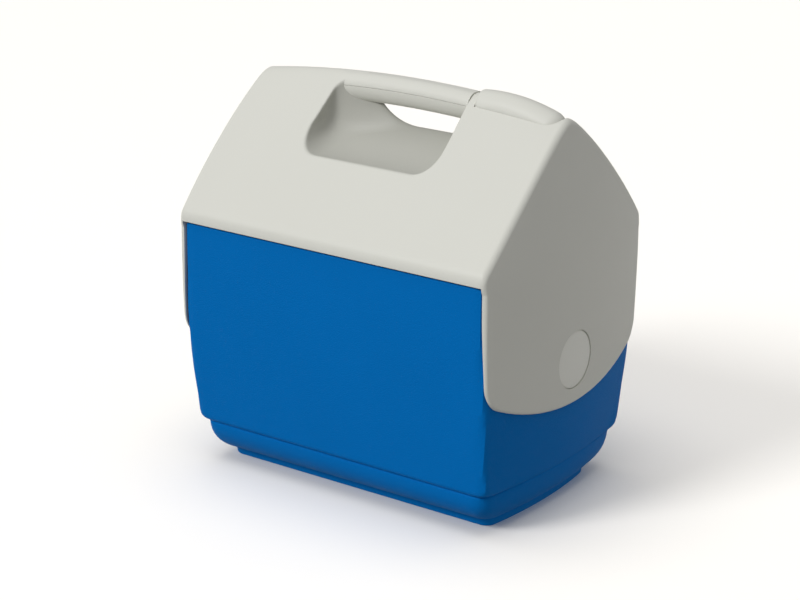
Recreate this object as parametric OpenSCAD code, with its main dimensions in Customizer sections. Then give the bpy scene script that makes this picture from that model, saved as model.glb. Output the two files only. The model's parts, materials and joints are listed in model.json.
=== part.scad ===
// Small personal cooler chest: a foam-filled tub with a tent-shaped lid.
// The lid turns about two side pivots and swings open to the front or to the back.
// X runs along the ridge, -Y is the front, +Z is up, origin at the bottom centre.

/* [Body] */
// Half of the body's depth at the rim
rim_y = 105.6; // [104:0.2:105.8]
// Height of the body's rim
rim_z = 197.5; // [196:0.5:198]
// Half of the body's depth just above the base step
wall_y = 94.2; // [92:0.2:96]
// How far the long walls bulge past a straight line
wall_bulge = 3.2; // [1:0.2:4]
// Wall thickness of the outer shell
shell_t = 2.5; // [2:0.1:3]

/* [Base] */
// Height of the step between the walls and the base
step_z = 33; // [30:1:36]
// How far the base steps in
step_in = 3.7; // [2:0.1:5]
// Radius that rounds the base under
base_round = 27; // [24:1:28]
// Height of the foot ring under the base
foot_z = 8; // [7:0.5:9]

/* [Tub] */
// Half of the tub's length inside
tub_x = 114; // [108:1:116]
// Half of the tub's depth inside at its top
tub_y = 84; // [80:1:86]
// Height of the tub's floor
tub_floor = 24; // [20:1:30]
// Thickness of the tub's skin
liner_t = 1.8; // [1.5:0.1:2.2]

/* [Lid] */
// Half of the length across the lid's bowed ends
lid_x = 150.4; // [150:0.1:151]
// Half of the lid's depth
lid_y = 108.9; // [108.5:0.1:109.5]
// Height of the lid's lower edge along the front and the back
seam_z = 199; // [198.5:0.1:199.5]
// Height of the ridge in the middle of the lid
ridge_z = 309.3; // [308:0.1:310]
// Lowest point of the side cheeks
cheek_z = 86; // [85:0.5:90]

/* [Pivot and latch] */
// Height of the pivot axis
pivot_z = 119; // [118:0.5:120]
// Radius of the pivot pins
pin_r = 6; // [5:0.5:7]
// Radius of the flush disc over each pivot
disc_r = 22.2; // [20:0.2:24]
// How far the push button travels
button_travel = 5; // [4:0.5:5]
// Distance of the latch bolt from the pivot axis at rest
bolt_at = 71; // [70.5:0.1:71.2]

/* [Hidden] */
$fn = 96;

blue = "#0b62a8";
white = "#dcddd6";
foam = "#f1e9c8";
steel = "#b9bdc2";

far = 400;                       // longer than the whole chest
dome_r = 540;                    // radius of the domed ends of the body
dome_x = 147.2;                  // where the body's dome crosses the pivot axis
swing_gap = 0.6;                 // gap between the body's dome and the cheeks
swing_r = 132.2;                 // radius of the lid's hollow about the pivot axis
lid_dome_r = 510;                // radius of the bowed ends of the lid
lid_dome_z = 192;                // height where the lid's ends start to lean in
lid_skin = 2.4;
wall_x = 140.6;                  // half length just above the base step
foot_x = 119;
foot_y = 68;
handle_x = [-59.5, 57];
scoop_x = [-63.5, 56];
scoop_r = 70.9;
scoop_y = 51.2;
scoop_z = 325.1;
scoop_round = 25;
ridge_r = 925;                   // radius of the ridge's gentle arch
bar_r = 9.2;                     // radius of the handle bar's long edges
bar_flat = 2;                    // half of the flat between those edges
button_r = 12.4;
button_arch = 150;
button_mid = 76;
button_top = 310.8;
button_x = [64, 121.6];
bolt_r = 2.3;
bush_r = 10;                     // pivot bush and the flange behind the wall
bush_flange_r = 14;
track_depth = 3.6;
track_r = [63.2, 73.9];
keeper_r = [55, 76.5];
keeper_screw_r = 59;              // distance of the keeper's screws from the pivot axis
keeper_screw_turn = 52;
keeper_turn = 72;                // half of the keeper's sweep about the pivot
tooth_from = 2.7;
tooth_to = 5.2;
tray_z = 281 - button_travel;    // floor of the button's well
spring_x = 80;
spring_r = 5.2;
spring_turns = 5;
spring_top = 295;
wire_r = 0.6;
wire_sides = 8;
spring_rings = 16 * spring_turns;
spring_rise = spring_top - tray_z - 2 - 2 * wire_r;
cap_x = 148.4;                   // inner face of the pivot caps
cap_crown = 2;                   // thickness of a cap at its middle
cap_dome_r = 430;

// ---------- helpers ----------

// Extrudes a (y, z) outline along X
module along_x(length) rotate([90, 0, 90]) linear_extrude(length, center = true) children();

// Extrudes an (x, z) outline along Y
module along_y(length) rotate([90, 0, 0]) linear_extrude(length, center = true) children();

// Draws its children on the right, or their mirror image on the left
module on_side(side) if (side > 0) children(); else mirror([1, 0, 0]) children();

// Round bar along X between two places, about the pivot axis
module rod_x(r, from, to)
    translate([from, 0, pivot_z]) rotate([0, 90, 0]) cylinder(r = r, h = to - from);

// Space between two domed ends, as one solid turned about the pivot axis
module lens(r, reach, z)
    translate([0, 0, z]) rotate([0, 90, 0]) rotate([0, 0, 45]) rotate_extrude($fn = 180) intersection() {
        shifted(r - reach) circle(r, $fn = 720);
        shifted(reach - r) circle(r, $fn = 720);
        translate([0, -reach - 1]) square([220, 2 * reach + 2]);
    }

module shifted(shift) translate([0, shift]) children();

// Points of an arc from p to q whose middle stands out by sag
function arc_between(p, q, sag, n) =
    let (
        chord = norm(q - p),
        r = (chord * chord / 4 + sag * sag) / (2 * sag),
        along = (q - p) / chord,
        out = [along[1], -along[0]],
        centre = (p + q) / 2 - (r - sag) * out,
        half = asin(chord / (2 * r))
    )
    [for (i = [0:n]) let (a = -half + 2 * half * i / n) centre + r * (sin(a) * along + cos(a) * out)];

function mirrored(points) = concat(points, [for (i = [len(points) - 1:-1:0]) [-points[i][0], points[i][1]]]);

// Half outline of the body from the foot to the rim, inset by t
function body_half(foot, base, wall, rim, bulge, t) = concat(
    [[foot - t, 0], [foot - t, foot_z - 1]],
    [for (a = [68:-17:0]) [base - base_round + (base_round - t) * cos(a), step_z - base_round * sin(a)]],
    [for (a = [60:-30:0]) [wall - t - (step_in - step_in * cos(a)), step_z + 6 - 5 * sin(a)]],
    [for (s = [0.1:0.15:1]) [wall - t + (rim - wall) * s + 4 * bulge * s * (1 - s), step_z + 6 + (rim_z - step_z - 6) * s]]
);

// Plan outline with bowed ends and rounded corners
module plan(end_x, corner_x, half_y, r) {
    bow = end_x - corner_x;
    quarter = [for (a = [0:22.5:90]) [corner_x - r + r * cos(a), half_y - r + r * sin(a)]];
    bowed = [for (y = [-0.9:0.15:0.9]) [end_x - bow * y * y, (half_y - r) * y]];
    right = concat([for (i = [len(quarter) - 1:-1:0]) [quarter[i][0], -quarter[i][1]]], bowed, quarter);
    polygon(mirrored(right));
}

// ---------- body ----------

// The whole body as one solid, inset by t
module body_form(t) {
    intersection() {
        along_x(far) polygon(mirrored(body_half(foot_y, wall_y - step_in, wall_y, rim_y, wall_bulge, t)));
        along_y(far) polygon(mirrored(body_half(foot_x, wall_x - step_in, wall_x, dome_x, 0, t)));
        linear_extrude(far) plan(dome_x + 1 - t, 135.6 - t, rim_y + 0.6 - t, 9);
        lens(dome_r - t, dome_x - t, pivot_z);
    }
}

module tub(grow) {
    intersection() {
        along_x(2 * (tub_x + grow)) polygon(mirrored([
            [tub_y - 22 + grow, tub_floor - grow], [tub_y - 12 + grow, tub_floor + 6], [tub_y + grow, far]
        ]));
        linear_extrude(far) plan(tub_x + grow, tub_x + grow - 1, tub_y + grow, 16);
    }
}

// Ring sector about the pivot axis on the right end, centred on straight up
module sector(r_in, r_out, turn, from, to) {
    translate([from, 0, pivot_z]) rotate([90, 0, 90]) rotate([0, 0, 90 - turn])
        rotate_extrude(angle = 2 * turn) translate([r_in, 0]) square([r_out - r_in, to - from]);
}

module keeper_form(gap) {
    difference() {
        sector(keeper_r[0] - gap, keeper_r[1] + gap, keeper_turn + gap, 120, 150);
        lens(dome_r - 6 - gap, dome_x - 6 - gap, pivot_z);
    }
}

module body_shell() color(blue) {
    difference() {
        body_form(0);
        intersection() {
            body_form(shell_t);
            translate([0, 0, far / 2 + 5]) cube(far, center = true);
        }
        // shallow recess inside the foot ring
        translate([0, 0, -0.5]) linear_extrude(3) square([2 * foot_x - 28, 2 * foot_y - 28], center = true);
        translate([0, 0, -1]) cylinder(r = 12, h = 20);
        for (side = [-1, 1]) on_side(side) rod_x(bush_r + 0.1, 130, 150);
        keeper_form(0.1);
    }
}

module body_insulation() color(foam) {
    difference() {
        intersection() {
            body_form(shell_t);
            translate([0, 0, 5 + (rim_z - 2 - 5) / 2]) cube([far, far, rim_z - 2 - 5], center = true);
        }
        tub(liner_t);
        translate([0, 0, -1]) cylinder(r = 12, h = 12);
        for (side = [-1, 1]) on_side(side) {
            rod_x(bush_r + 0.1, 120, 150);
            rod_x(bush_flange_r + 0.1, 121.9, 124.1);
        }
        keeper_form(0.1);
        at_keeper_screws(1.6, 119, 145);
    }
}

module body_liner() color(white) {
    difference() {
        union() {
            intersection() {
                tub(liner_t);
                translate([0, 0, rim_z / 2]) cube([far, far, rim_z], center = true);
            }
            intersection() {
                body_form(shell_t);
                translate([0, 0, rim_z - 1]) cube([far, far, 2], center = true);
            }
        }
        tub(0);
    }
}

module foam_plug() color(blue) {
    translate([0, 0, 2.5]) cylinder(r = 11.9, h = 8);
}

module pivot_bush(side) color(white) on_side(side) {
    difference() {
        union() {
            rod_x(bush_r, 122, 146.9);
            rod_x(bush_flange_r, 122, 124);
        }
        rod_x(pin_r + 0.05, 124, 160);
    }
}

// Cylinders along X at the places of the two keeper screws
module at_keeper_screws(r, from, to) {
    for (a = [-keeper_screw_turn, keeper_screw_turn])
        translate([0, 0, pivot_z]) rotate([a, 0, 0]) translate([from, 0, keeper_screw_r])
            rotate([0, 90, 0]) cylinder(r = r, h = to - from);
}

module latch_keeper() color(white) {
    difference() {
        intersection() {
            keeper_form(0);
            lens(dome_r, dome_x, pivot_z);
        }
        difference() {
            sector(track_r[0], track_r[1], keeper_turn - 2.5, 130, 150);
            lens(dome_r - track_depth, dome_x - track_depth, pivot_z);
            for (side = [-1, 1])
                translate([140, side * (tooth_from + tooth_to) / 2, pivot_z + 71.6])
                    cube([12, tooth_to - tooth_from, 5], center = true);
        }
        at_keeper_screws(1.6, 119, 150);
        at_keeper_screws(2.4, 142.2, 150);
    }
}

module keeper_screws() color(steel) {
    at_keeper_screws(1.5, 124, 142.3);
    at_keeper_screws(2.2, 142.3, 143.6);
}

// ---------- lid ----------

// Half of the lid's tent outline, inset by t
function tent_half(t) = concat(
    [[lid_y - 0.4 - t, seam_z]],
    arc_between([lid_y - t, seam_z + 4], [102.8 - t * 0.8, 213 - t * 0.6], 1.7, 4),
    arc_between([102.4 - t * 0.75, 213.4 - t * 0.66], [9.5, 299 - t * 1.4], 5, 8),
    [[4, 299.6 - t * 1.4]]
);

// Half outline of the cheeks, from the seam down to the lowest point
cheek_half = concat(
    [[0, cheek_z]],
    [for (y = [20:17.5:90]) [y, cheek_z + y * y / 420]],
    arc_between([92, 106.2], [108.2, 123], 4.6, 4),
    [[lid_y - 0.4, seam_z]]
);

// Everything between the lid's bowed and leaning ends, inset by t
module lid_ends(t) {
    intersection() {
        linear_extrude(far) plan(lid_x - t, 139.3 - t, lid_y - t, 8 - t);
        union() {
            lens(lid_dome_r - t, lid_x - t, lid_dome_z);
            translate([0, 0, lid_dome_z / 2]) cube([far, far, lid_dome_z], center = true);
        }
    }
}

// Space that the body needs when the lid swings
module swing_space(grow) {
    r = dome_r + swing_gap + grow;
    reach = dome_x + swing_gap + grow;
    translate([0, 0, pivot_z]) rotate([0, 90, 0]) rotate([0, 0, 45]) rotate_extrude($fn = 180) intersection() {
        shifted(r - reach) circle(r, $fn = 720);
        shifted(reach - r) circle(r, $fn = 720);
        translate([0, -reach - 1]) square([swing_r + grow, 2 * reach + 2]);
    }
}

// Section of the handle bar
module bar_section(t) {
    for (side = [-1, 1]) translate([0, side * bar_flat]) circle(bar_r - t);
    square([2 * (bar_r - t), 2 * bar_flat], center = true);
}

// Bar that follows the arch of the ridge between two places along X
module ridge_bar(from, to) {
    turn_from = asin(from / ridge_r);
    turn_to = asin(to / ridge_r);
    translate([0, 0, ridge_z - ridge_r]) rotate([90, 0, 0]) rotate([0, 0, 90 - turn_to])
        rotate_extrude(angle = turn_to - turn_from, $fn = 720) translate([ridge_r - bar_r, 0]) children();
}

// Hand scoops from the front and the back that meet under the handle
module scoops(grow) {
    round_r = scoop_round + grow;
    half = (scoop_x[1] - scoop_x[0]) / 2 + grow;
    r = scoop_r + grow;
    for (side = [-1, 1])
        translate([(scoop_x[0] + scoop_x[1]) / 2, side * scoop_y, scoop_z]) rotate([0, 90, 0])
            rotate_extrude() {
                translate([0, -half]) square([r - round_r, 2 * half]);
                translate([0, -half + round_r]) square([r, 2 * (half - round_r)]);
                for (end = [-1, 1])
                    translate([r - round_r, end * (half - round_r)]) circle(round_r);
            }
}

// Space for the push button and its travel
module button_well(grow) {
    translate([0, 0, tray_z - grow]) linear_extrude(far) {
        translate([button_x[0] - 0.5 - grow, -button_r - 0.5 - grow])
            square([button_x[1] - button_x[0] + 0.5 + grow, 2 * (button_r + 0.5 + grow)]);
        translate([button_x[1], 0]) circle(button_r + 0.5 + grow);
    }
}

// Channel for the latch slider inside the right end, from the button to the bolt
module slider_channel(grow) {
    along_y(10.4 + 2 * grow) polygon([
        [143, 177.5 - grow], [147.5 + grow / 2, 177.5 - grow], [147.5 + grow / 2, 206],
        [141.5 + grow, 262 + grow], [134.4 + grow, 288], [120.5 - grow, 288],
        [130.5 - grow, 262 + grow], [141.8 - grow / 2, 206]
    ]);
}

module lid_outer() {
    intersection() {
        union() {
            along_x(far) polygon(mirrored(tent_half(0)));
            ridge_bar(-139, 139) bar_section(0);
            difference() {
                along_x(far) polygon(mirrored(cheek_half));
                lens(dome_r + swing_gap, dome_x + swing_gap, pivot_z);
            }
        }
        lid_ends(0);
    }
}

module lid_hollow() {
    difference() {
        intersection() {
            along_x(far) polygon(mirrored(tent_half(lid_skin)));
            lid_ends(lid_skin);
            translate([0, 0, far / 2 + 204]) cube(far, center = true);
        }
        scoops(lid_skin);
        button_well(2);
    }
}

module lid_shell() color(white) {
    difference() {
        lid_outer();
        difference() {
            lid_hollow();
            translate([0, 0, pivot_z]) rotate([0, 90, 0]) cylinder(r = 20, h = 10);
        }
        swing_space(0);
        intersection() {
            swing_space(1.5);
            translate([0, 0, far / 2 + 204]) cube(far, center = true);
        }
        scoops(0);
        ridge_bar(handle_x[0] - 0.1, handle_x[1] + 0.1) bar_section(-0.1);
        button_well(0);
        slider_channel(0);
        for (side = [-1, 1]) on_side(side) {
            rod_x(disc_r + 0.3, 148.3, 160);
            rod_x(pin_r + 0.1, 140, 160);
        }
    }
}

module lid_insulation() color(foam) {
    difference() {
        lid_hollow();
        swing_space(1.6);
        slider_channel(0.5);
        guide_block(0.2);
        ridge_bar(handle_x[0] - 0.1, handle_x[1] + 0.1) bar_section(-0.1);
    }
}

module lid_liner() color(white) {
    intersection() {
        difference() {
            swing_space(1.5);
            swing_space(0);
        }
        translate([0, 0, far / 2 + 204]) cube(far, center = true);
        lid_ends(lid_skin);
    }
}

module handle_bar() {
    difference() {
        ridge_bar(handle_x[0], handle_x[1]) bar_section(0);
        handle_screw_holes();
    }
}

// Cylinder that parts the upper from the lower half of the handle
module parting(gap)
    translate([0, 0, ridge_z - ridge_r]) rotate([90, 0, 0])
        cylinder(r = ridge_r - bar_r + gap, h = 60, center = true, $fn = 720);

module handle_screw_holes() {
    for (x = [-42, 40])
        translate([x, 0, 280]) {
            cylinder(r = 1.6, h = 25);
            cylinder(r = 3.4, h = 12.6);
        }
}

module handle_upper() color(white) difference() {
    handle_bar();
    parting(0.1);
}

module handle_lower() color(white) intersection() {
    handle_bar();
    parting(-0.1);
}

module handle_screws() color(steel) {
    for (x = [-42, 40])
        translate([x, 0, 0]) {
            translate([0, 0, 290.6]) cylinder(r = 3, h = 2);
            translate([0, 0, 292.6]) cylinder(r = 1.5, h = 12);
        }
}

module pivot_pin(side) color(steel) on_side(side) {
    rod_x(pin_r, 125, 148.2);
}

module pivot_cap(side) color(white) on_side(side) {
    crown = [for (i = [5:-1:0]) let (r = disc_r * i / 5) [r, cap_crown - r * r / (2 * cap_dome_r)]];
    translate([cap_x, 0, pivot_z]) rotate([0, 90, 0]) rotate_extrude()
        polygon(concat([[0, 0], [disc_r, 0]], crown));
}

// Block that carries the guide for the slider, grown by a gap
module guide_block(grow)
    translate([143.4, 0, 222]) cube([6 + 2 * grow, 22 + 2 * grow, 14 + 2 * grow], center = true);

module latch_guide() color(white) {
    difference() {
        intersection() {
            guide_block(0);
            lid_ends(lid_skin);
        }
        slider_channel(0);
        swing_space(1.6);
    }
}

module spring_seat() color(white) {
    translate([spring_x, 0, tray_z]) difference() {
        cylinder(r = 8, h = 2);
        translate([0, 0, -1]) cylinder(r = 2.5, h = 4);
    }
}

// ---------- button and latch ----------

// Half-round section of the button with a straight skirt, grown by g
module button_section(g) {
    intersection() {
        circle(button_r + g);
        translate([0, -30]) square([60, 60]);
    }
    translate([-5, -button_r - g]) square([5, 2 * (button_r + g)]);
}

module button_form(g) {
    major = button_arch - button_r;
    turn_from = asin((button_x[0] - button_mid - g) / major);
    turn_to = asin((button_x[1] - button_mid) / major);
    translate([button_mid, 0, button_top - button_arch]) {
        rotate([90, 0, 0]) rotate([0, 0, 90 - turn_to])
            rotate_extrude(angle = turn_to - turn_from, $fn = 180) translate([major, 0]) button_section(g);
        rotate([0, turn_to, 0]) translate([0, 0, major]) rotate([0, 0, -90])
            rotate_extrude(angle = 180) intersection() {
                rotate(90) button_section(g);
                translate([0, -20]) square([40, 60]);
            }
    }
}

module push_button() color(white) {
    difference() {
        button_form(0);
        intersection() {
            button_form(-2.2);
            translate([64 + 2.2 + 100, 0, 300]) cube([200, 60, 100], center = true);
        }
        translate([button_mid, 0, button_top - button_arch]) rotate([90, 0, 0])
            cylinder(r = button_arch - button_r - 4.9, h = 60, center = true, $fn = 180);
        // upright left end, and a notch in the skirt that the slider passes through
        translate([button_x[0] - 10, 0, 300]) cube([20, 40, 60], center = true);
        translate([131, 0, 281.5]) cube([8, 10.4, 10], center = true);
    }
    // post and collar over the return spring
    translate([spring_x, 0, 288]) cylinder(r = 4, h = 21.5);
    translate([spring_x, 0, spring_top]) cylinder(r = 7, h = 308 - spring_top);
    // post that the slider is screwed to
    difference() {
        translate([button_x[1], 0, 291]) cylinder(r = 4, h = 10.5);
        translate([button_x[1], 0, 280]) cylinder(r = 1.6, h = 18);
    }
}

module latch_slider() color(white) {
    difference() {
        along_y(9) polygon([
            [144.4, 184], [146.9, 184], [146.9, 206], [140, 262], [129.2, 287], [129.2, 291],
            [116.6, 291], [116.6, 288], [126.2, 288], [137, 262], [144.4, 202]
        ]);
        translate([130, 0, pivot_z + bolt_at]) rotate([0, 90, 0]) cylinder(r = bolt_r, h = 30);
        translate([button_x[1], 0, 280]) cylinder(r = 1.6, h = 30);
    }
}

module latch_bolt() color(steel) {
    translate([140, 0, pivot_z + bolt_at]) rotate([0, 90, 0]) cylinder(r = bolt_r, h = 6.9);
}

module slider_screw() color(steel) {
    translate([button_x[1], 0, 286]) cylinder(r = 2.8, h = 2);
    translate([button_x[1], 0, 288]) cylinder(r = 1.5, h = 9.5);
}

// One ring of points round the spring's wire
function spring_ring(i) = [
    for (j = [0:wire_sides - 1])
        let (b = 360 * j / wire_sides, r = spring_r + wire_r * cos(b), z = wire_r + spring_rise * i / spring_rings)
            [r * cos(22.5 * i), r * sin(22.5 * i), z + wire_r * sin(b)]
];

// Coil of round wire swept ring by ring from the seat up to the button
module button_spring() color(steel) {
    points = [for (i = [0:spring_rings]) each spring_ring(i)];
    sides = [
        for (i = [0:spring_rings - 1], j = [0:wire_sides - 1])
            let (k = (j + 1) % wire_sides, a = i * wire_sides, b = a + wire_sides) [a + j, a + k, b + k, b + j]
    ];
    start = [for (j = [wire_sides - 1:-1:0]) j];
    finish = [for (j = [0:wire_sides - 1]) spring_rings * wire_sides + j];
    translate([spring_x, 0, tray_z + 2]) polyhedron(points, concat([start], sides, [finish]));
}

body_shell();
body_insulation();
body_liner();
foam_plug();
pivot_bush(-1);  // pivot_bush_left
pivot_bush(1);  // pivot_bush_right
latch_keeper();
keeper_screws();
lid_shell();
lid_insulation();
lid_liner();
handle_upper();
handle_lower();
handle_screws();
pivot_pin(-1);  // pivot_pin_left
pivot_pin(1);  // pivot_pin_right
pivot_cap(-1);  // pivot_cap_left
pivot_cap(1);  // pivot_cap_right
latch_guide();
spring_seat();
push_button();
latch_slider();
latch_bolt();
slider_screw();
button_spring();
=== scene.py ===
import json
import math

import bmesh
import bpy
import numpy as np
from mathutils import Matrix, Vector


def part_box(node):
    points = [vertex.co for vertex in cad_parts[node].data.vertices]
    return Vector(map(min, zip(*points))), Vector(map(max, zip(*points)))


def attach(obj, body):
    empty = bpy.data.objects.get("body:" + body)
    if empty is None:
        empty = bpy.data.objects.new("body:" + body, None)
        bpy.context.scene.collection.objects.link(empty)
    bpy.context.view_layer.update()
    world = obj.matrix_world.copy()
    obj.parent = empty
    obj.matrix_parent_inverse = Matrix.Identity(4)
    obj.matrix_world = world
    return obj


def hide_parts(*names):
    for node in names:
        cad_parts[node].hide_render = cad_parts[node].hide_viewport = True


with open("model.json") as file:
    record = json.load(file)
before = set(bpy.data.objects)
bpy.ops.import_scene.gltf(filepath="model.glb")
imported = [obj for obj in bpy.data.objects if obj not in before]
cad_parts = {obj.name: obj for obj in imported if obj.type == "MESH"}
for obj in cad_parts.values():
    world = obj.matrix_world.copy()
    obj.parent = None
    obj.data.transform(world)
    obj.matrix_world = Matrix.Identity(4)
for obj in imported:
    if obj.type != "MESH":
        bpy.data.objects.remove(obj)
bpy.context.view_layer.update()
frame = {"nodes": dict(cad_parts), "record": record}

MM = 0.001

# ---------- sizes, in millimetres, from the frame ----------


def box_mm(node):
    low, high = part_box(node)
    return [v / MM for v in low], [v / MM for v in high]


_, shell_high = box_mm("body_shell")
lid_low, lid_high = box_mm("lid_shell")
button_low, button_high = box_mm("push_button")
cap_low, cap_high = box_mm("pivot_cap_right")
_, handle_high = box_mm("handle_upper")

LID_X = lid_high[0]                      # half length over the bowed ends of the lid
LID_Y = lid_high[1]                      # half depth of the lid
RIM_Z = shell_high[2]                    # rim of the body
RIM_Y = shell_high[1]
CHEEK_Z = lid_low[2]                     # lowest point of the cheeks
CAP_R = (cap_high[1] - cap_low[1]) / 2
PIVOT_Z = (cap_high[2] + cap_low[2]) / 2
RIDGE_Z = handle_high[2]                 # top of the handle and of the ridge

# ---------- numbers shared with the design ----------

SEAM_Z = RIM_Z + 1.5                     # lower edge of the lid
SWING_R = 132.2                          # hollow of the lid about the pivot axis
DOME_R = 540.0                           # domed ends of the body about the pivot axis
DOME_X = 147.2
CORNER_X = 135.4                         # reach of the body's corners at the rim
SWING_GAP = 0.6
LINER_T, LINER_Z = 1.5, 204.0            # skin that lines the lid's hollow above this level
END_BOW = 0.00092                        # bow of the lid's ends, per millimetre
LEAN_Z, LEAN = 200.0, 0.112              # above this the lid's ends lean in
RIDGE_R = 925.0                          # gentle arch of the ridge
BAR_R = 9.2                              # long edges of the handle bar
BAR_FLAT = 2.0
LOWER_BAR = 1.36                         # the lower half of the bar is deeper by this
SCOOP_R, SCOOP_Y, SCOOP_Z = 70.9, 51.2, 325.1
SCOOP_X = (-64.3, 57.0)
SKIN = 2.4
BUTTON_R = 12.4
BUTTON_ARCH = 150.0
BUTTON_MID = 76.0
BUTTON_X = (64.0, 121.6)
TRAY_Z = 276.0
KEEPER_R, KEEPER_TURN = (54.9, 76.6), 72.1  # window for the latch keeper, about the pivot axis
KEEPER_SCREW_R, KEEPER_SCREW_TURN = 59.0, math.radians(52)
BUSH_R, BUSH_FLANGE_R = 10.15, 14.1      # holes for the bushes and for the flange behind the wall
CAP_GAP = 0.35                           # groove round the discs on the pivots
CAP_CROWN = 560.0                        # twice the radius that the discs are domed to
PIN_R = 6.0
OUTSIDE_X = 155.0                        # clear of the body, where a bore starts


# ---------- fields: negative inside ----------


def rmax(a, b, r):
    """Both, with their common edge rounded to radius r."""
    return np.minimum(np.maximum(a, b), -r) + np.hypot(np.maximum(a + r, 0), np.maximum(b + r, 0))


def ridge_top(x):
    return RIDGE_Z - x * x / (2 * RIDGE_R)


def circle_through(p, q, sag):
    """Centre and radius of the arc from p to q that stands out by sag, away from the origin."""
    (py, pz), (qy, qz) = p, q
    chord = math.hypot(qy - py, qz - pz)
    r = (chord * chord / 4 + sag * sag) / (2 * sag)
    out = ((qz - pz) / chord, -(qy - py) / chord)
    return (py + qy) / 2 - (r - sag) * out[0], (pz + qz) / 2 - (r - sag) * out[1], r


SLOPE = circle_through((LID_Y, 206.0), (9.5, 299.0), 2.6)


def tent_height(x, y):
    """Height of the lid: two slopes that meet in a rounded, gently arched ridge."""
    side = np.sqrt(y * y + 81.0)
    slope = SLOPE[1] + np.sqrt(np.maximum(SLOPE[2] ** 2 - (side - SLOPE[0]) ** 2, 1.0))
    crown = SLOPE[1] + math.sqrt(SLOPE[2] ** 2 - (9.0 - SLOPE[0]) ** 2)
    lift = ridge_top(x) + 0.1 - 0.5 * np.tanh(x / 30.0) - crown
    return slope + lift * np.exp(-((y / 25.0) ** 2))


def lid_body(x, y, z):
    """The tent with its cheeks as one solid block, without any hollow."""
    ax, ay = np.abs(x), np.abs(y)
    steep = 0.88 * np.clip(ay / 20.0, 0, 1)
    top = (z - tent_height(x, y)) / np.sqrt(1 + steep * steep)
    top = rmax(top, ay - LID_Y, 4.5)
    up = z - LEAN_Z
    lean = LEAN * (up + np.hypot(up, 12.0)) / 2
    tuck = np.maximum(PIVOT_Z - z, 0)
    end = ax - (LID_X - END_BOW * y * y - lean - 0.0004 * tuck * tuck)
    end = end / np.sqrt(1 + (2 * END_BOW * y) ** 2)
    solid = rmax(top, end, 4.5)
    taper = np.minimum(LID_Y - wall_depth(z) - 0.6, 0.5 * np.maximum(SEAM_Z - z, 0))
    outline = rmax(np.hypot(y, z - CHEEK_Z - 220.5) - 222.0, ay - LID_Y + taper, 12.0)
    return rmax(solid, outline, 2.2)


def lid_skin_field(x, y, z):
    """Outer skin of the lid, with the hand scoops."""
    return rmax(lid_body(x, y, z), -scoops(x, y, z), 1.5)


def blend_min(a, b, width):
    return (a + b - np.hypot(a - b, width)) / 2


def end_dome(r2):
    """Reach of the body's domed ends, level where the rim corners pass."""
    dome = DOME_X - r2 / (2 * DOME_R) - 0.05
    return -blend_min(-dome, -CORNER_X, 1.6)


def swing_space(x, y, z, grow):
    """Room for the body inside the lid."""
    r = np.hypot(y, z - PIVOT_Z)
    ends = np.abs(x) - end_dome(r * r) - SWING_GAP - grow
    return np.maximum(ends, np.minimum(r - SWING_R - grow, z - SEAM_Z))


def scoops(x, y, z):
    """Hand scoops: front and back meet in a crest that sweeps up into the left wall."""
    depth = np.hypot(np.sqrt(y * y + 9.0) - SCOOP_Y, z - SCOOP_Z) - SCOOP_R
    left = SCOOP_X[0] + 0.15 * np.maximum(z - 272.0, 0)
    sweep = 17.0 + 53.0 * np.exp(-((y / 13.0) ** 2))
    return rmax(rmax(depth, x - SCOOP_X[1], 17.0), left - x, sweep)


def well(x, y, z, gap):
    """Straight-sided space round the button."""
    flank = np.hypot(np.maximum(x - BUTTON_X[1], 0), y) - BUTTON_R - gap
    return np.maximum(np.maximum(BUTTON_X[0] - gap - x, flank), TRAY_Z - z)


def chute(x, y, z):
    """Room for the latch slider on its way from the button down to the bolt."""
    path = [(120, 288), (129, 287), (140, 262), (146, 206), (146, 180)]
    near = np.full(np.broadcast(x, z).shape, 1e3)
    for (ax, az), (bx, bz) in zip(path, path[1:]):
        t = np.clip(((x - ax) * (bx - ax) + (z - az) * (bz - az)) / ((bx - ax) ** 2 + (bz - az) ** 2), 0, 1)
        near = np.minimum(near, np.hypot(x - ax - t * (bx - ax), z - az - t * (bz - az)))
    return np.maximum(near - 7.0, np.abs(y) - 11.5)


def lid_hollow_field(x, y, z, inset=0.0):
    """Space for the foam between the lid's skins."""
    hollow = rmax(lid_body(x, y, z) + SKIN, SKIN - scoops(x, y, z), 3.0)
    hollow = np.maximum(hollow, -swing_space(x, y, z, LINER_T + 1.6))
    hollow = np.maximum(hollow, 2.0 - well(x, y, z, 0.4))
    return np.maximum(hollow, 204.0 - z) + inset


def lid_foam_field(x, y, z):
    return np.maximum(lid_hollow_field(x, y, z, 0.25), -chute(x, y, z))


def button_field(x, y, z):
    """Half-round cap on a straight skirt that follows its own arch, open below."""
    major = BUTTON_ARCH - BUTTON_R
    centre_z = button_high[2] - BUTTON_ARCH
    radius = np.hypot(x - BUTTON_MID, z - centre_z)
    angle = np.arctan2(x - BUTTON_MID, z - centre_z)
    last = math.asin((BUTTON_X[1] - BUTTON_MID) / major)
    rise = radius - major
    over = np.maximum(angle - last, 0) * major
    side = np.hypot(y, over)

    def cap(t):
        return np.hypot(side, np.maximum(rise, 0)) - BUTTON_R + t

    first = -math.asin((BUTTON_MID - BUTTON_X[0]) / major)
    outer = rmax(cap(0.0), (first - angle) * major, 1.6)
    outer = np.maximum(outer, -5.0 - rise)
    inner = np.maximum(cap(2.2), (first - angle) * major + 2.2)
    return rmax(outer, -inner, 0.6)


# ---------- meshes from fields ----------


def gradient(field, p, h=0.05):
    """Slope of the field at each point."""
    out = np.empty_like(p)
    for axis in range(3):
        shift = np.zeros(3)
        shift[axis] = h
        high = field(*(p + shift).T)
        low = field(*(p - shift).T)
        out[:, axis] = (high - low) / (2 * h)
    return out


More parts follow.
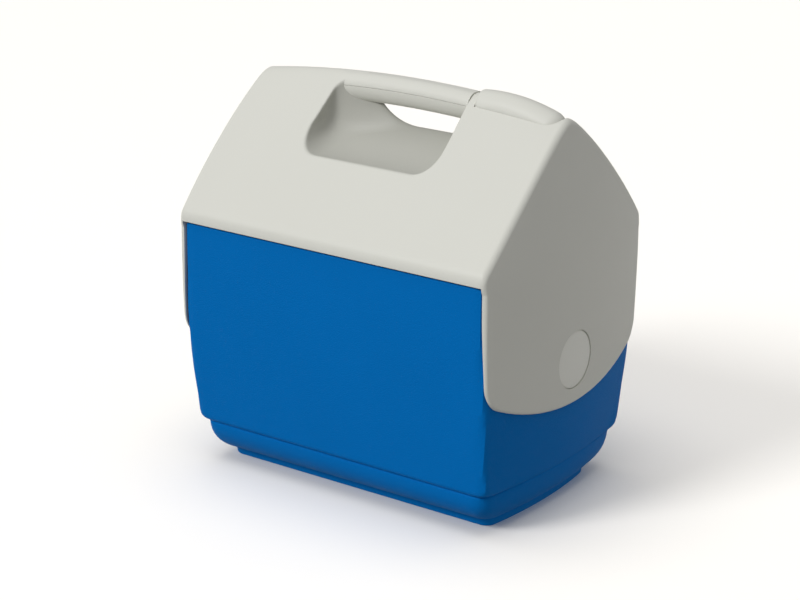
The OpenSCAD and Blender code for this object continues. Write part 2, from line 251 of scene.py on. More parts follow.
def project(field, p, rounds):
    """Moves points onto the field's surface."""
    for _ in range(rounds):
        g = gradient(field, p)
        size = np.maximum((g * g).sum(1), 0.05)
        step = np.clip(field(*p.T) / size, -1.5, 1.5)
        p = p - g * step[:, None]
    return p


def grid_surface(field, low, high, step):
    """Points and quads where the field changes sign on a regular grid."""
    axes = [np.arange(low[i] - 1.5 * step, high[i] + 2 * step, step) for i in range(3)]
    x, y, z = axes[0][:, None, None], axes[1][None, :, None], axes[2][None, None, :]
    f = np.asarray(field(x, y, z), dtype=np.float32)
    inside = f < 0
    shape = np.array(f.shape) - 1
    corners = [(i, j, k) for i in (0, 1) for j in (0, 1) for k in (0, 1)]

    def at(grid, c):
        return grid[c[0]:c[0] + shape[0], c[1]:c[1] + shape[1], c[2]:c[2] + shape[2]]

    count = sum(at(inside, c).astype(np.int8) for c in corners)
    active = (count > 0) & (count < 8)
    cells = np.argwhere(active)
    ids = np.full(active.shape, -1, dtype=np.int64)
    ids[active] = np.arange(len(cells))
    total = np.zeros((len(cells), 3))
    hits = np.zeros(len(cells))
    for a in corners:
        for axis in range(3):
            if a[axis]:
                continue
            b = tuple(v + (i == axis) for i, v in enumerate(a))
            fa = f[tuple((cells + a).T)]
            fb = f[tuple((cells + b).T)]
            crossed = (fa < 0) != (fb < 0)
            t = np.where(crossed, fa / np.where(crossed, fa - fb, 1), 0)
            point = cells + np.array(a, dtype=float)
            point[:, axis] += t
            total += point * crossed[:, None]
            hits += crossed
    start = np.array([a[0] for a in axes])
    points = total / hits[:, None] * step + start
    quads = []
    for axis in range(3):
        u, v = (axis + 1) % 3, (axis + 2) % 3
        here = [slice(None)] * 3
        there = [slice(None)] * 3
        here[axis], there[axis] = slice(0, -1), slice(1, None)
        change = inside[tuple(here)] != inside[tuple(there)]
        edges = np.argwhere(change)
        edges = edges[(edges[:, u] > 0) & (edges[:, v] > 0)]
        starts_inside = inside[tuple(edges.T)]
        du, dv = np.eye(3, dtype=int)[u], np.eye(3, dtype=int)[v]
        ring = [ids[tuple((edges - s).T)] for s in (du * 0, du, du + dv, dv)]
        quad = np.stack(ring, axis=1)
        quad[~starts_inside] = quad[~starts_inside][:, ::-1]
        quads.append(quad)
    return points, np.concatenate(quads)


def relax(field, points, quads, rounds):
    """Evens the quads out along the surface."""
    edges = np.concatenate([quads[:, [i, (i + 1) % 4]] for i in range(4)])
    edges = np.concatenate([edges, edges[:, ::-1]])
    count = np.bincount(edges[:, 0], minlength=len(points))[:, None]
    for _ in range(rounds):
        ends = points[edges[:, 1]]
        sums = [np.bincount(edges[:, 0], weights=ends[:, i], minlength=len(points)) for i in range(3)]
        move = np.stack(sums, axis=1) / count - points
        g = gradient(field, points)
        g /= np.maximum(np.linalg.norm(g, axis=1), 1e-6)[:, None]
        move -= g * (move * g).sum(1)[:, None]
        points = project(field, points + 0.5 * move, 1)
    return points


def new_object(name, mesh):
    made = bpy.data.objects.new(name, mesh)
    bpy.context.scene.collection.objects.link(made)
    return made


def mesh_object(name, points, faces, sharp=35.0):
    """Object from points in millimetres."""
    mesh = bpy.data.meshes.new(name)
    mesh.from_pydata((np.asarray(points) * MM).tolist(), [], [list(map(int, f)) for f in faces])
    mesh.update()
    made = new_object(name, mesh)
    smooth(made, sharp)
    return made


def smooth(target, sharp):
    """Smooth shading, with creases where faces turn by more than sharp degrees."""
    target.data.shade_smooth()
    target.data.set_sharp_from_angle(angle=math.radians(sharp))


def field_points(field, low, high, step):
    """Evenly spread points and quads on the field's surface."""
    points, quads = grid_surface(field, low, high, step)
    points = project(field, points, 2)
    points = relax(field, points, quads, 4)
    return project(field, points, 2), quads


def field_object(name, field, low, high, step):
    points, quads = field_points(field, low, high, step)
    return mesh_object(name, points, quads)


def field_normals(target, field):
    """Sets the normals of every face that lies on the field's surface from its gradient."""
    mesh = target.data
    points = np.empty(len(mesh.vertices) * 3)
    mesh.vertices.foreach_get("co", points)
    points = points.reshape(-1, 3) / MM
    on = np.abs(field(*points.T)) < 0.04
    slope = gradient(field, points)
    slope /= np.maximum(np.linalg.norm(slope, axis=1), 1e-6)[:, None]
    normals = np.empty(len(mesh.loops) * 3)
    mesh.corner_normals.foreach_get("vector", normals)
    normals = normals.reshape(-1, 3)
    corner = np.empty(len(mesh.loops), dtype=np.int32)
    mesh.loops.foreach_get("vertex_index", corner)
    starts = np.empty(len(mesh.polygons), dtype=np.int32)
    mesh.polygons.foreach_get("loop_start", starts)
    whole = np.logical_and.reduceat(on[corner], starts)
    face = np.repeat(np.arange(len(starts)), np.diff(np.append(starts, len(corner))))
    flat = np.empty(len(starts) * 3)
    mesh.polygons.foreach_get("normal", flat)
    agree = (slope[corner] * flat.reshape(-1, 3)[face]).sum(1) > 0.7
    use = whole[face] & agree
    normals[use] = slope[corner][use]
    mesh.normals_split_custom_set(normals.tolist())


def cut(target, cutter):
    """Cuts one object out of another and deletes the cutter."""
    modifier = target.modifiers.new("cut", "BOOLEAN")
    modifier.operation = "DIFFERENCE"
    modifier.solver = "MANIFOLD"
    modifier.object = cutter
    apply_modifiers(target)
    bpy.data.objects.remove(cutter)


def apply_modifiers(target):
    depsgraph = bpy.context.evaluated_depsgraph_get()
    mesh = bpy.data.meshes.new_from_object(target.evaluated_get(depsgraph))
    target.modifiers.clear()
    target.data = mesh


def tidy_normals(target):
    """Turns every face outwards."""
    work = bmesh.new()
    work.from_mesh(target.data)
    bmesh.ops.recalc_face_normals(work, faces=work.faces)
    work.to_mesh(target.data)
    work.free()


def prism(outline, low, high, place):
    """Closed prism over an outline; place turns (u, v, height) into a point."""
    n = len(outline)
    points = [place(u, v, h) for h in (low, high) for u, v in outline]
    faces = [[i, (i + 1) % n, n + (i + 1) % n, n + i] for i in range(n)]
    faces += [list(range(n - 1, -1, -1)), list(range(n, 2 * n))]
    made = mesh_object("cutter", points, faces)
    tidy_normals(made)
    return made


def lathe(name, profile, axis_place, steps=96):
    """Turns (radius, height) points; the first and the last lie on the axis."""
    points, faces = [], []
    turns = np.linspace(0, math.tau, steps, False)
    for r, h in profile[1:-1]:
        points += [axis_place(r * math.cos(t), r * math.sin(t), h) for t in turns]
    rows = len(profile) - 2
    for row in range(rows - 1):
        for i in range(steps):
            j = (i + 1) % steps
            faces.append([row * steps + i, row * steps + j, (row + 1) * steps + j, (row + 1) * steps + i])
    first, last = len(points), len(points) + 1
    points += [axis_place(0, 0, profile[0][1]), axis_place(0, 0, profile[-1][1])]
    faces += [[first, (i + 1) % steps, i] for i in range(steps)]
    top = (rows - 1) * steps
    faces += [[last, top + i, top + (i + 1) % steps] for i in range(steps)]
    made = mesh_object(name, points, faces)
    tidy_normals(made)
    return made


# ---------- body ----------


def wall_depth(z):
    """Half depth of the long walls, from the step up to the rim."""
    s = np.clip((z - 39.0) / (RIM_Z - 39.0), 0, 1)
    return 94.2 + (RIM_Y - 94.2) * s + 4 * 3.2 * s * (1 - s)


STEP_Z = 33.0
WALL_X = 146.8
BASE_ROUND = 27.0


def body_levels():
    """Heights, half depths, half lengths and corner radii of the rings, from the foot up."""
    wall_corner = 3.2
    rows = [(0.0, 66.8, 125.6, 7), (0.5, 67.6, 126.4, 7), (1.4, 68.0, 126.8, 7), (6.6, 68.6, 127.4, 7)]
    rows += [(7.2, 69.4, 128.6, 7)]
    for a in np.linspace(67, 4, 15):
        tuck = BASE_ROUND * (1 - math.cos(math.radians(a)))
        z = STEP_Z - 1.0 - BASE_ROUND * math.sin(math.radians(a)) * 0.94
        rows.append((z, 90.6 - tuck, 140.6 - 0.62 * tuck, 9))
    rows += [(31.6, 90.7, 140.9, 9), (32.3, 90.5, 140.7, 9), (32.9, 89.9, 140.1, 9)]
    rows += [(33.5, 89.9, 140.1, 9), (34.0, 90.9, 141.4, 9), (34.4, 92.0, 142.9, 9)]
    rows += [(35.0, 93.0, 144.3, 8), (36.2, 93.8, 145.6, 6.5), (38.0, 94.25, 146.3, 4.5)]
    for z in list(np.linspace(42, RIM_Z - 5, 34)) + [RIM_Z - 2.2, RIM_Z - 1.2]:
        rows.append((z, float(wall_depth(z)), WALL_X, wall_corner))
    rows.append((RIM_Z - 0.4, float(wall_depth(RIM_Z)) - 0.3, WALL_X - 0.3, wall_corner))
    rows.append((RIM_Z, float(wall_depth(RIM_Z)) - 1.0, WALL_X - 1.0, wall_corner))
    return rows


def end_reach(y, z, half_x):
    """Where the body's end stands at y: bowed in plan, and inside the dome that the lid swings about."""
    flare = 6.0 * np.clip((z - 40.0) / 60.0, 0, 1)
    bowed = half_x + flare - 0.0012 * y * y
    return blend_min(bowed, end_dome(y * y + (z - PIVOT_Z) ** 2), 1.5)


def plan_ring(plan, z, angles):
    """Points of a plan outline at one height, found along rays; plan(x, y) is negative inside."""
    c, s = np.cos(angles), np.sin(angles)
    low, high = np.zeros(len(angles)), np.full(len(angles), 260.0)
    for _ in range(40):
        t = (low + high) / 2
        inside = plan(np.abs(t * c), np.abs(t * s)) < 0
        low, high = np.where(inside, t, low), np.where(inside, high, t)
    return np.stack([low * c, low * s, np.full(len(angles), z)], axis=1)


def ring_points(z, half_y, half_x, corner, angles, inset=0.0):
    """Plan outline of the body at one height."""
    def plan(x, y):
        return rmax(x - end_reach(y, z, half_x) + inset, y - half_y + inset, corner)

    return plan_ring(plan, z, angles)


def ring_faces(rows, n):
    """Quads between rings of n points each."""
    faces = []
    for row in range(rows - 1):
        for i in range(n):
            j = (i + 1) % n
            faces.append([row * n + i, row * n + j, (row + 1) * n + j, (row + 1) * n + i])
    return faces


def body_angles():
    """Ray angles, closer together round the corners."""
    corner = math.atan2(98, 133)
    marks = [(0, 10), (corner - 0.16, 16), (corner + 0.14, 14), (math.pi / 2, 0)]
    quarter = []
    for (a, n), (b, _) in zip(marks, marks[1:]):
        quarter += list(np.linspace(a, b, n, False))
    quarter = np.array(quarter + [math.pi / 2])
    half = np.concatenate([quarter, math.pi - quarter[::-1][1:]])
    return np.concatenate([half, math.pi + half[1:-1]])


def make_body():
    """Blue shell: the outer wall from the foot up, over the rim and down again inside."""
    angles = body_angles()
    n = len(angles)
    rings = [ring_points(z, hy, hx, rc, angles) for z, hy, hx, rc in body_levels()]
    wall = 2.5
    top = body_levels()[-1]
    rings.append(ring_points(RIM_Z, top[1] - wall + 1, top[2] + 0.3, 8, angles, 2.2))
    for z in (RIM_Z - 1, 150.0, 100.0, 60.0, 40.0):
        rings.append(ring_points(z, float(wall_depth(z)), WALL_X, 9, angles, wall))
    rings.append(ring_points(30.0, 88, 138, 10, angles, wall))
    rings.append(ring_points(10.0, 74, 124, 10, angles, wall))
    rings.append(ring_points(5.2, 64, 114, 9, angles, wall))
    points = np.concatenate(rings)
    faces = ring_faces(len(rings), n)
    last = (len(rings) - 1) * n
    # the underside: the foot ring, the shallow recess inside it and the floor above
    recess = ring_points(0.0, 55.0, 106.0, 6, angles)
    deeper = recess + np.array([0, 0, 2.5])
    base = len(points)
    points = np.concatenate([points, recess, deeper, [[0, 0, 2.5]], [[0, 0, 5.2]]])
    for i in range(n):
        j = (i + 1) % n
        faces.append([base + i, base + j, j, i])
        faces.append([base + n + i, base + n + j, base + j, base + i])
        faces.append([base + 2 * n, base + n + j, base + n + i])
        faces.append([base + 2 * n + 1, last + i, last + j])
    made = mesh_object("body_shell_skin", points, faces, 40.0)
    tidy_normals(made)
    return made


def lofted(name, rings, closed_by, sharp=40.0):
    """Skin through rings of equal length, each end closed to a point."""
    n = len(rings[0])
    points = np.concatenate(rings + [np.array(closed_by, dtype=float)])
    faces = ring_faces(len(rings), n)
    first, last = len(rings) * n, (len(rings) - 1) * n
    for i in range(n):
        j = (i + 1) % n
        faces.append([first, j, i])
        faces.append([first + 1, last + i, last + j])
    made = mesh_object(name, points, faces, sharp)
    tidy_normals(made)
    return made


TUB_X, TUB_Y, TUB_TAPER = 114.0, 72.0, 12.0 / 370.0
TUB_FLOOR, TUB_T, TUB_ROUND = 24.0, 1.8, 16.0


def tub_ring(z, angles, grow):
    """Plan of the tub at one height: it tapers, and its floor is rounded into the walls."""
    tuck = max(TUB_FLOOR + TUB_ROUND - z, 0)
    tuck = TUB_ROUND - math.sqrt(max(TUB_ROUND ** 2 - tuck ** 2, 0))
    half_x = TUB_X - tuck + grow
    half_y = TUB_Y + TUB_TAPER * (z - 30.0) - tuck + grow
    return plan_ring(lambda x, y: rmax(x - half_x, y - half_y, TUB_ROUND), z, angles)


def tub_heights(top):
    bend = [TUB_FLOOR + TUB_ROUND * (1 - math.cos(math.radians(a))) for a in (8, 20, 35, 50, 65, 80, 90)]
    return bend + list(np.linspace(bend[-1] + 10, top, 10))


def make_liner():
    """White tub with its rounded mouth and flat rim."""
    angles = body_angles()
    half_y = float(wall_depth(RIM_Z))
    lip = ring_points(RIM_Z - 2.0, half_y, WALL_X, 8, angles, 2.7)
    edge = ring_points(RIM_Z - 0.5, half_y, WALL_X, 8, angles, 2.7)
    crown = ring_points(RIM_Z - 0.1, half_y, WALL_X, 8, angles, 3.1)
    inside = [tub_ring(z, angles, 0.0) for z in tub_heights(RIM_Z - 2.5)]
    outside = [tub_ring(z, angles, TUB_T) for z in tub_heights(RIM_Z - 4.0)]
    for ring in outside:
        ring[:, 2] -= TUB_T
    mouth = []
    for a in (0, 22, 45, 67, 90):
        grow = 2.5 * (1 - math.cos(math.radians(a)))
        ring = tub_ring(RIM_Z - 2.5, angles, grow)
        ring[:, 2] = RIM_Z - 2.6 + 2.5 * math.sin(math.radians(a))
        mouth.append(ring)
    under = tub_ring(RIM_Z - 4.0, angles, TUB_T + 1.5)
    under[:, 2] = RIM_Z - 2.0
    rings = outside + [under, lip, edge, crown] + mouth[::-1] + inside[::-1]
    return lofted("body_tub", rings, [(0, 0, TUB_FLOOR - TUB_T), (0, 0, TUB_FLOOR)], 30.0)


def make_body_foam():
    """Foam between the blue shell and the tub."""
    angles = body_angles()
    rings = [ring_points(5.6, 66, 118, 9, angles, 2.7)]
    for z, half_y, half_x, corner in body_levels():
        if 7.0 < z < RIM_Z - 4:
            rings.append(ring_points(z, half_y, half_x, corner, angles, 2.8))
    rings.append(ring_points(RIM_Z - 2.3, float(wall_depth(RIM_Z)), WALL_X, 9, angles, 2.8))
    for z in reversed(tub_heights(RIM_Z - 4.0)):
        ring = tub_ring(z, angles, TUB_T + 0.2)
        ring[:, 2] -= TUB_T + 0.2
        rings.append(ring)
    rings[-len(tub_heights(RIM_Z - 4.0))][:, 2] = RIM_Z - 2.3
    return lofted("body_foam", rings, [(0, 0, 5.6), (0, 0, TUB_FLOOR - TUB_T - 0.2)])


# ---------- handle ----------


def bar_half(upper):
    """Outline (side, rise) of one half of the handle, with a narrow seam on its flanks."""
    sign = 1 if upper else -1
    reach = BAR_R if upper else LOWER_BAR * BAR_R
    seam = 0.1
    turn = np.linspace(0, math.pi, 29)
    sides = [BAR_R * math.cos(t) + math.copysign(BAR_FLAT, math.cos(t)) for t in turn]
    outline = [(s, sign * max(reach * math.sin(t), seam + 0.25)) for s, t in zip(sides, turn)]
    edge = BAR_R + BAR_FLAT
    return [(edge - 0.25, sign * seam)] + outline + [(-edge + 0.25, sign * seam)]


def make_handle(name, upper, x_from, x_to):
    outline = bar_half(upper)
    if not upper:
        outline = outline[::-1]
    stations = np.linspace(x_from, x_to, 49)
    n = len(outline)
    points = []
    for x in stations:
        lean = x / RIDGE_R
        centre_z = ridge_top(x) - BAR_R
        points += [(x + v * lean, s, centre_z + v) for s, v in outline]
    faces = ring_faces(len(stations), n)
    faces.append(list(range(n)))
    faces.append([(len(stations) - 1) * n + i for i in range(n - 1, -1, -1)])
    made = mesh_object(name, points, faces, 40.0)
    tidy_normals(made)
    return made


# ---------- materials ----------


def plastic(name, colour, roughness, grain, bump, mottle, specular=0.5):
    """Moulded plastic: a faint mottle in its colour and gloss, and a grain of its own size."""
    material = bpy.data.materials.new(name)
    material.use_nodes = True
    nodes, links = material.node_tree.nodes, material.node_tree.links
    shader = nodes["Principled BSDF"]
    shader.inputs["IOR"].default_value = 1.46
    shader.inputs["Specular IOR Level"].default_value = specular
    place = nodes.new("ShaderNodeTexCoord")

    def noise(scale, detail, rough=0.5):
        node = nodes.new("ShaderNodeTexNoise")
        node.inputs["Scale"].default_value = scale
        node.inputs["Detail"].default_value = detail
        node.inputs["Roughness"].default_value = rough
        links.new(place.outputs["Object"], node.inputs["Vector"])
        return node

    def spread(source, low, high):
        node = nodes.new("ShaderNodeMapRange")
        node.inputs["To Min"].default_value = low
        node.inputs["To Max"].default_value = high
        links.new(source, node.inputs["Value"])
        return node

    cloud = noise(14, 4)
    tint = nodes.new("ShaderNodeMix")
    tint.data_type = "RGBA"
    tint.inputs["A"].default_value = (*[c * (1 - mottle) for c in colour], 1)
    tint.inputs["B"].default_value = (*[min(1, c * (1 + mottle)) for c in colour], 1)
    links.new(cloud.outputs["Fac"], tint.inputs["Factor"])
    links.new(tint.outputs["Result"], shader.inputs["Base Color"])
    fine = noise(grain, 3, 0.6)
    gloss = spread(fine.outputs["Fac"], roughness - 0.07, roughness + 0.07)
    links.new(gloss.outputs["Result"], shader.inputs["Roughness"])
    relief = nodes.new("ShaderNodeBump")
    relief.inputs["Strength"].default_value = bump
    relief.inputs["Distance"].default_value = 0.0004
    links.new(fine.outputs["Fac"], relief.inputs["Height"])
    links.new(relief.outputs["Normal"], shader.inputs["Normal"])
    return material


def paint_scoop_shade(material):
    """Paints shade into the hand scoops: their colour is multiplied darker where an attribute of the mesh
    marks them, in place of the shadow of the handle and the ridge.
    """
    nodes, links = material.node_tree.nodes, material.node_tree.links
    shader = nodes["Principled BSDF"]
    plain = shader.inputs["Base Color"].links[0].from_socket
    marks = nodes.new("ShaderNodeAttribute")
    marks.attribute_name = "scoop_shade"
    shade_mix = nodes.new("ShaderNodeMix")
    shade_mix.data_type = "RGBA"
    shade_mix.blend_type = "MULTIPLY"
    # painted shade: full marks take the colour down to 0.62
    shade_mix.inputs["B"].default_value = (0.62, 0.62, 0.61, 1)
    links.new(marks.outputs["Fac"], shade_mix.inputs["Factor"])
    links.new(plain, shade_mix.inputs["A"])
    links.new(shade_mix.outputs["Result"], shader.inputs["Base Color"])


def metal(name, colour, roughness):
    material = plastic(name, colour, roughness, 900, 0.08, 0.03)
    material.node_tree.nodes["Principled BSDF"].inputs["Metallic"].default_value = 1.0
    return material


def srgb(*values):
    """Linear colour from display values of 0 to 255."""
    return [((v / 255 + 0.055) / 1.055) ** 2.4 if v > 10 else v / 255 / 12.92 for v in values]


blue = plastic("blue_plastic", srgb(0, 112, 192), 0.5, 900, 1.0, 0.04, 0.04)
white = plastic("white_plastic", srgb(219, 219, 211), 0.45, 500, 0.06, 0.012, 0.3)
disc_white = plastic("disc_plastic", srgb(238, 238, 230), 0.4, 500, 0.06, 0.012, 0.3)
# the white plastic carries painted shade in the hand scoops
paint_scoop_shade(white)
tub_white = plastic("liner_plastic", srgb(232, 232, 228), 0.3, 300, 0.04, 0.01)
foam = plastic("foam", srgb(238, 226, 190), 0.85, 700, 0.8, 0.06)
steel = metal("steel", srgb(186, 189, 194), 0.32)
by_slot = {
    "blue_plastic": blue,
    "white_plastic": white,
    "liner_plastic": tub_white,
    "foam": foam,
    "steel": steel,
}


def paint(target, slot):
    target.data.materials.clear()
    target.data.materials.append(by_slot[slot])


# ---------- the pieces ----------

for entry in frame["record"]["subparts"]:
    node = frame["nodes"][entry["node"]]
    for place in node.material_slots:
        place.material = by_slot[entry["material_slot"]]


def upright(u, v, h):
    return (u, v, h)


def along_x(u, v, h):
    return (h, u, v)


def along_y(u, v, h):
    return (u, h, v)


def ring_outline(r):
    return [(r * math.cos(t), r * math.sin(t)) for t in np.linspace(0, math.tau, 96, False)]


def keeper_window():
    """Outline (y, z) of the latch keeper, seen along X."""
    outer = [math.radians(90 + a) for a in np.linspace(-KEEPER_TURN, KEEPER_TURN, 49)]
    inner_r, outer_r = KEEPER_R
    arc = [(outer_r * math.cos(t), outer_r * math.sin(t) + PIVOT_Z) for t in outer]
    return arc + [(inner_r * math.cos(t), inner_r * math.sin(t) + PIVOT_Z) for t in reversed(outer)]


def bore(target, r, x_from, x_to, y=0.0, z=PIVOT_Z):
    """Round hole along X."""
    cut(target, prism([(y + u, z + v) for u, v in ring_outline(r)], x_from, x_to, along_x))


def cut_keeper(target, x_from):
    """Room for the latch keeper in the right end."""
    cut(target, prism(keeper_window(), x_from, OUTSIDE_X, along_x))


body = make_body()
cut_keeper(body, 130.0)
for side in (-1, 1):
    bore(body, BUSH_R, side * 130.0, side * OUTSIDE_X)
smooth(body, 40.0)
paint(body, "blue_plastic")
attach(body, "body")
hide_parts("body_shell")

liner = make_liner()
paint(liner, "liner_plastic")
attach(liner, "body")
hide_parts("body_liner")

body_foam = make_body_foam()
cut_keeper(body_foam, 131.0)
for side in (-1, 1):
    bore(body_foam, BUSH_R, side * 118.0, side * OUTSIDE_X)
    bore(body_foam, BUSH_FLANGE_R, side * 121.8, side * 124.2)
    turn = side * KEEPER_SCREW_TURN
    screw_y = KEEPER_SCREW_R * math.sin(turn)
    screw_z = PIVOT_Z + KEEPER_SCREW_R * math.cos(turn)
    bore(body_foam, 1.7, 118.0, OUTSIDE_X, screw_y, screw_z)
smooth(body_foam, 40.0)
paint(body_foam, "foam")
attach(body_foam, "body")
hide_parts("body_insulation")

GRID = 1.45       # spacing of the lid's mesh
HIDDEN_GRID = 2.6 * GRID                 # and of the surfaces inside it


def well_outline(gap):
    arc = np.linspace(-math.pi / 2, math.pi / 2, 33)
    r = BUTTON_R + gap
    round_end = [(BUTTON_X[1] + r * math.cos(t), r * math.sin(t)) for t in arc]
    return round_end + [(BUTTON_X[0] - gap, r), (BUTTON_X[0] - gap, -r)]


def swing_drum(name, grow):
    """Solid of the lid's hollow: a drum with domed ends about the pivot axis."""
    def reach(r):
        return float(end_dome(r * r)) + SWING_GAP + grow

    radii = list(np.linspace(4, SWING_R + grow, 24))
    profile = [(0, -reach(0))] + [(r, -reach(r)) for r in radii]
    profile += [(r, reach(r)) for r in reversed(radii)] + [(0, reach(0))]
    return lathe(name, profile, lambda u, v, h: (h, u, v + PIVOT_Z), 240)


def upper_drum(name, grow, from_z):
    """The part of the drum above a level."""
    drum = swing_drum(name, grow)
    cut(drum, prism([(-200, -200), (200, -200), (200, 200), (-200, 200)], -50.0, from_z, upright))
    return drum


def slider_slot():
    """Way of the latch slider through the end of the lid."""
    half_width = 5.2
    outer = [(143, 177.5), (147.5, 177.5), (147.5, 206), (141.5, 262), (134.4, 288)]
    inner = [(120.5, 288), (130.5, 262), (141.8, 206)]
    return prism(outer + inner, -half_width, half_width, along_y)


def make_lid_liner():
    """Vault that lines the lid's hollow."""
    made = upper_drum("lid_liner_skin", LINER_T, LINER_Z)
    cut(made, swing_drum("cutter", 0.0))
    cut(made, slider_slot())
    smooth(made, 35.0)
    return made


def low_cutter():
    """Solid below the seam and between the cheeks, out past the front and the back."""
    widths = np.linspace(-120, 120, 41)
    heights = np.linspace(60, SEAM_Z, 29)
    points, faces = [], []
    for side in (-1, 1):
        for h in heights:
            for w in widths:
                r2 = w * w + (h - PIVOT_Z) ** 2
                points.append((side * (float(end_dome(r2)) + SWING_GAP), w, h))
    rows, columns = len(heights), len(widths)
    for side in (0, 1):
        base = side * rows * columns
        for i in range(rows - 1):
            for j in range(columns - 1):
                a = base + i * columns + j
                faces.append([a, a + 1, a + columns + 1, a + columns])
    edge = [(0, j) for j in range(columns)] + [(i, columns - 1) for i in range(1, rows)]
    edge += [(rows - 1, j) for j in range(columns - 2, -1, -1)] + [(i, 0) for i in range(rows - 2, 0, -1)]
    loop = [i * columns + j for i, j in edge]
    for a, b in zip(loop, loop[1:] + loop[:1]):
        faces.append([a, b, b + rows * columns, a + rows * columns])
    made = mesh_object("cutter", points, faces)
    tidy_normals(made)
    return made


def add_cavity(target, field, low, high, step):
    """Joins the field's surface to the target as the wall of a closed cavity inside it."""
    points, quads = field_points(field, low, high, step)
    work = bmesh.new()
    work.from_mesh(target.data)
    verts = [work.verts.new(p) for p in (points * MM).tolist()]
    for quad in quads:
        work.faces.new([verts[i] for i in reversed(quad)]).smooth = True
    work.to_mesh(target.data)
    work.free()


def make_lid():
    """Lid skin: the outer block, hollowed for the body, the button and the pivots, with a closed cavity."""
    made = field_object("lid_skin", lid_skin_field, lid_low, lid_high, GRID)
    cut(made, swing_drum("cutter", 0.0))
    cut(made, upper_drum("cutter", LINER_T + 0.05, LINER_Z - 0.05))
    cut(made, low_cutter())
    cut(made, prism(well_outline(0.4), TRAY_Z, 340.0, upright))
    for side in (-1, 1):
        bore(made, CAP_R + CAP_GAP, side * (cap_low[0] - 0.1), side * OUTSIDE_X)
        bore(made, PIN_R + 0.1, side * 140.0, side * OUTSIDE_X)
    cut(made, slider_slot())
    add_cavity(made, lid_hollow_field, (lid_low[0], lid_low[1], 200), lid_high, HIDDEN_GRID)
    smooth(made, 35.0)
    field_normals(made, lid_skin_field)
    return made


def mark_scoop_shade(target):
    """Stores how much painted shade each point of the outer skin takes, from 0 to 1: more the deeper it
    lies in a hand scoop.
    """
    mesh = target.data
    points = np.empty(len(mesh.vertices) * 3)
    mesh.vertices.foreach_get("co", points)
    x, y, z = (points.reshape(-1, 3) / MM).T
    depth = np.clip((-lid_body(x, y, z) - 0.3) / 2.2, 0, 1)
    # painted shade is heaviest along the crest under the handle, at y = 0
    depth *= 0.68 + 0.32 * np.exp(-((y / 20.0) ** 2))
    depth[np.abs(lid_skin_field(x, y, z)) > 0.2] = 0
    marks = mesh.attributes.new("scoop_shade", "FLOAT", "POINT")
    marks.data.foreach_set("value", depth.astype(np.float32))


lid = make_lid()
paint(lid, "white_plastic")
# where the painted shade in the hand scoops falls
mark_scoop_shade(lid)
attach(lid, "lid")
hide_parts("lid_shell")

lid_liner = make_lid_liner()
paint(lid_liner, "liner_plastic")
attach(lid_liner, "lid")
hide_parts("lid_liner")

lid_foam = field_object("lid_foam", lid_foam_field, (lid_low[0], lid_low[1], 200), lid_high, HIDDEN_GRID)
paint(lid_foam, "foam")
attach(lid_foam, "lid")
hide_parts("lid_insulation")

for name, upper in (("handle_upper", True), ("handle_lower", False)):
    low, high = box_mm(name)
    half = make_handle(name + "_grip", upper, low[0], high[0])
    paint(half, "white_plastic")
    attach(half, "lid")
    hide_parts(name)

button = field_object("button_cap", button_field, button_low, button_high, 0.9)
paint(button, "white_plastic")
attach(button, "latch")
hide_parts("push_button")

for side, name in ((-1, "pivot_cap_left"), (1, "pivot_cap_right")):
    crown = cap_high[0] - cap_low[0]
    rim = crown - CAP_R ** 2 / CAP_CROWN
    profile = [(0, 0), (CAP_R - 0.3, 0), (CAP_R, 0.3)]
    profile += [(CAP_R, rim - 0.9), (CAP_R - 0.25, rim - 0.3), (CAP_R - 0.9, rim)]
    profile += [(r, crown - r * r / CAP_CROWN) for r in np.linspace(CAP_R - 1.5, 2, 10)] + [(0, crown)]
    disc = lathe(name + "_disc", profile, lambda u, v, h: (side * (cap_low[0] + h), u, v + PIVOT_Z))
    paint(disc, "white_plastic")
    disc.data.materials[0] = disc_white
    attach(disc, "lid")
    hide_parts(name)

# ---------- floor, light and camera ----------


def make_floor():
    size = 6.0
    mesh = bpy.data.meshes.new("floor")
    corners = [(-size, -size, 0), (size, -size, 0), (size, size, 0), (-size, size, 0)]
    mesh.from_pydata(corners, [], [(0, 1, 2, 3)])
    floor = new_object("floor", mesh)
    material = bpy.data.materials.new("floor")
    material.use_nodes = True
    shader = material.node_tree.nodes["Principled BSDF"]
    shader.inputs["Base Color"].default_value = (0.955, 0.93, 0.89, 1)
    shader.inputs["Roughness"].default_value = 0.8
    mesh.materials.append(material)
    return floor


def area_light(name, place, target, size, watts):
    data = bpy.data.lights.new(name, "AREA")
    data.shape = "RECTANGLE"
    data.size, data.size_y = size
    data.energy = watts
    lamp = bpy.data.objects.new(name, data)
    lamp.location = place
    lamp.rotation_euler = (Vector(target) - Vector(place)).to_track_quat("-Z", "Y").to_euler()
    bpy.context.scene.collection.objects.link(lamp)


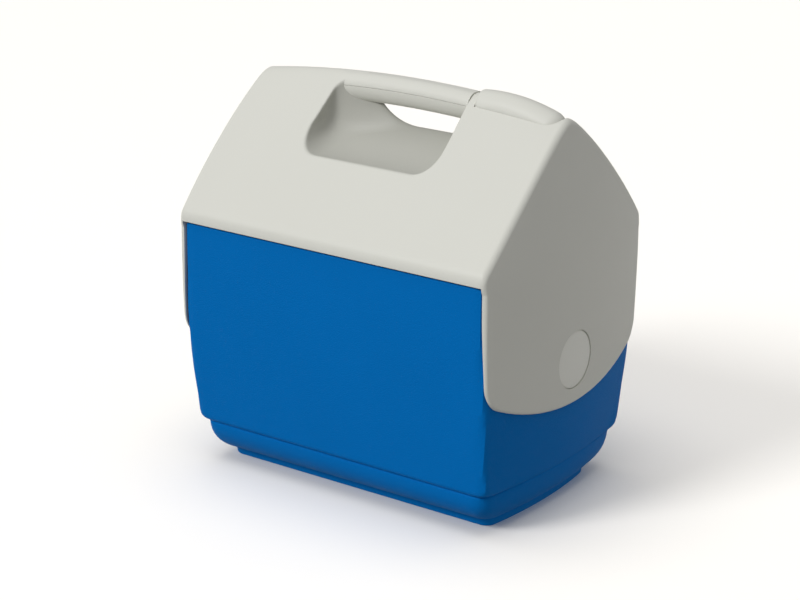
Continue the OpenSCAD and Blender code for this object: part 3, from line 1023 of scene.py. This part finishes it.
def make_camera():
    """Long lens from the front right, a little above the ridge."""
    azimuth, elevation, roll = math.radians(35.4), math.radians(18.476), math.radians(0.67)
    distance, aside, middle = 1.7184, -0.00755, 0.1346
    level = Vector((math.sin(azimuth), -math.cos(azimuth), 0))
    back = level * math.cos(elevation) + Vector((0, 0, math.sin(elevation)))
    right = Vector((math.cos(azimuth), math.sin(azimuth), 0))
    up = back.cross(right)
    place = right * aside + Vector((0, 0, middle)) + back * distance
    turned_right = right * math.cos(roll) + up * math.sin(roll)
    turned_up = up * math.cos(roll) - right * math.sin(roll)
    data = bpy.data.cameras.new("camera")
    data.sensor_width = 36.0
    data.lens = 100.09
    data.clip_end = 20
    camera = bpy.data.objects.new("camera", data)
    turn = Matrix((turned_right, turned_up, back)).transposed()
    camera.matrix_world = Matrix.Translation(place) @ turn.to_4x4()
    bpy.context.scene.collection.objects.link(camera)
    bpy.context.scene.camera = camera


def sun(name, direction, strength, spread):
    data = bpy.data.lights.new(name, "SUN")
    data.energy = strength
    data.angle = math.radians(spread)
    lamp = bpy.data.objects.new(name, data)
    lamp.rotation_euler = Vector(direction).to_track_quat("-Z", "Y").to_euler()
    bpy.context.scene.collection.objects.link(lamp)
    return lamp


floor = make_floor()
floor.visible_diffuse = False
make_camera()
sun("key", (0.30, 0.78, -0.58), 1.62, 18)
area_light("top", (-0.3, -0.5, 2.4), (0, 0, 0.2), (1.6, 1.2), 4)
wash = sun("floor_wash", (0.05, 0.05, -1), 1.1, 50)
floor_only = bpy.data.collections.new("floor_only")
floor_only.objects.link(floor)
wash.light_linking.receiver_collection = floor_only

world = bpy.data.worlds.new("world")
world.use_nodes = True
nodes, links = world.node_tree.nodes, world.node_tree.links
direction = nodes.new("ShaderNodeTexCoord")
split = nodes.new("ShaderNodeSeparateXYZ")
sky = nodes.new("ShaderNodeMapRange")
sky.inputs["From Min"].default_value = -0.6
sky.inputs["From Max"].default_value = 0.6
sky.inputs["To Min"].default_value = 0.24
sky.inputs["To Max"].default_value = 0.46
links.new(direction.outputs["Generated"], split.inputs["Vector"])
links.new(split.outputs["Z"], sky.inputs["Value"])
nodes["Background"].inputs["Color"].default_value = (1, 1, 1, 1)
links.new(sky.outputs["Result"], nodes["Background"].inputs["Strength"])
bpy.context.scene.world = world
bpy.context.scene.view_settings.view_transform = "Standard"
